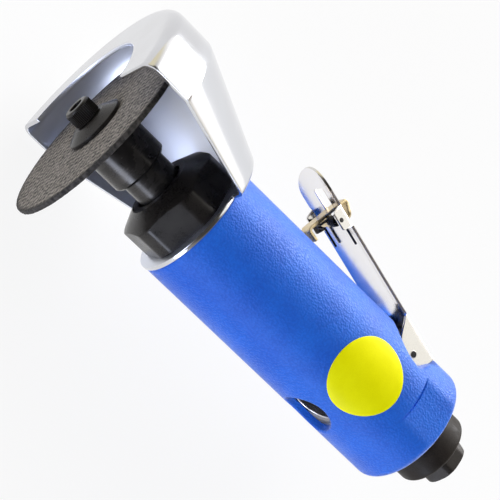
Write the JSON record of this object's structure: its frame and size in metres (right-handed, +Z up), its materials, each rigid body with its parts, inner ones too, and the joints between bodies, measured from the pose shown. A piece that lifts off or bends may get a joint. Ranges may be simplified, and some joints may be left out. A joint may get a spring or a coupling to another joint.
{
  "type": "pneumatic cut-off tool",
  "caption": "Hand-held air cut-off tool: blue grip, squeeze lever with safety latch, chrome half-cup guard and a thin abrasive wheel on a spindle.",
  "frame": {"origin": "centre of the air inlet's mouth", "axes": "+X along the tool from the inlet to the wheel, lever on -Y, +Z up with the tool lying on its side"},
  "size_m": [0.19, 0.0831, 0.0897],
  "materials": {
    "blue_skin": "soft-touch, fine pebble grain",
    "yellow_sticker": "printed film, bare",
    "bright_chrome": "mirror chrome plate",
    "bright_nickel": "nickel plate",
    "black_oxide": "black oxide, oiled",
    "abrasive": "resin-bonded grit with fibre mesh",
    "pale_brass": "stamped sheet",
    "spring_steel": "blackened wire",
    "pin_steel": "ground",
    "bearing_steel": "ground",
    "motor_steel": "ground",
    "aluminium": "machined",
    "vane_laminate": "phenolic laminate",
    "gasket_paper": "pressed fibre",
    "seal_rubber": "moulded",
    "charcoal_plastic": "matte moulded",
    "charcoal_steel": "matte black",
    "felt": "felt",
    "screen_brass": "punched",
    "dial_plastic": "moulded"
  },
  "bodies": {
    "body": {"housing": "aluminium", "grip_sleeve": "blue_skin", "label_disc": "yellow_sticker", "clamp_nut": "black_oxide", "front_bearing_outer": "bearing_steel", "front_plate": "motor_steel", "cylinder": "motor_steel", "cylinder_pin": "pin_steel", "rear_plate": "motor_steel", "rear_bearing_outer": "bearing_steel", "motor_gasket": "gasket_paper", "lever_pin": "pin_steel", "valve_bush": "charcoal_steel", "valve_o_ring": "seal_rubber", "valve_spring": "spring_steel", "regulator_ring": "bright_nickel", "inlet_bushing": "charcoal_steel", "inlet_screen": "screen_brass"},
    "spin": {"rotor": "motor_steel", "rotor_vanes": "vane_laminate", "spindle": "black_oxide", "inner_flange": "black_oxide", "cutting_wheel": "abrasive", "outer_flange": "black_oxide", "cap_screw": "black_oxide", "front_bearing_inner": "bearing_steel", "rear_bearing_inner": "bearing_steel"},
    "front_ball_set": {"front_bearing_balls": "bearing_steel"},
    "rear_ball_set": {"rear_bearing_balls": "bearing_steel"},
    "lever": {"throttle_lever": "bright_nickel", "latch_pin": "pin_steel", "latch_spring": "spring_steel"},
    "latch": {"safety_latch": "pale_brass"},
    "valve": {"valve_stem": "charcoal_steel"},
    "regulator": {"regulator": "dial_plastic", "regulator_o_ring": "seal_rubber"},
    "deflector": {"exhaust_deflector": "charcoal_plastic", "muffler_felt": "felt"},
    "guard": {"guard": "bright_chrome"}
  },
  "joints": [
    {"name": "spindle_spin", "type": "hinge", "parent": "body", "child": "spin", "pos_m": [0.134, 0, 0], "axis": [1, 0, 0], "continuous": true},
    {"name": "front_balls_orbit", "type": "hinge", "parent": "body", "child": "front_ball_set", "pos_m": [0.122, 0, 0], "axis": [1, 0, 0], "continuous": true},
    {"name": "rear_balls_orbit", "type": "hinge", "parent": "body", "child": "rear_ball_set", "pos_m": [0.0725, 0, 0], "axis": [1, 0, 0], "continuous": true},
    {"name": "lever_squeeze", "type": "hinge", "parent": "body", "child": "lever", "pos_m": [0.0407, -0.0176, 0], "axis": [0, 0, 1], "range_deg": [0, 7], "stiffness_Nm_per_rad": 1.2, "springref_deg": -6.88},
    {"name": "latch_swing", "type": "hinge", "parent": "lever", "child": "latch", "pos_m": [0.09348, -0.03476, 0], "axis": [0, 0, 1], "range_deg": [0, 100], "deforming": ["latch_spring"]},
    {"name": "valve_slide", "type": "slide", "parent": "body", "child": "valve", "axis": [0, 1, 0], "range_m": [0, 0.0014], "deforming": ["valve_spring"]},
    {"name": "regulator_turn", "type": "hinge", "parent": "body", "child": "regulator", "pos_m": [0.0575, 0, 0], "axis": [0, 1, 0], "range_deg": [0, 90]},
    {"name": "deflector_turn", "type": "hinge", "parent": "body", "child": "deflector", "pos_m": [0.0205, 0, 0], "axis": [1, 0, 0], "continuous": true},
    {"name": "guard_turn", "type": "hinge", "parent": "body", "child": "guard", "pos_m": [0.13405, 0, 0], "axis": [1, 0, 0], "continuous": true}
  ],
  "couplings": [
    {"joint": "front_balls_orbit", "follows": "spindle_spin", "ratio": 0.381},
    {"joint": "rear_balls_orbit", "follows": "spindle_spin", "ratio": 0.3654},
    {"joint": "latch_swing", "follows": "lever_squeeze", "ratio": 14.286},
    {"joint": "valve_slide", "follows": "lever_squeeze", "m_per_rad": 0.011399}
  ]
}
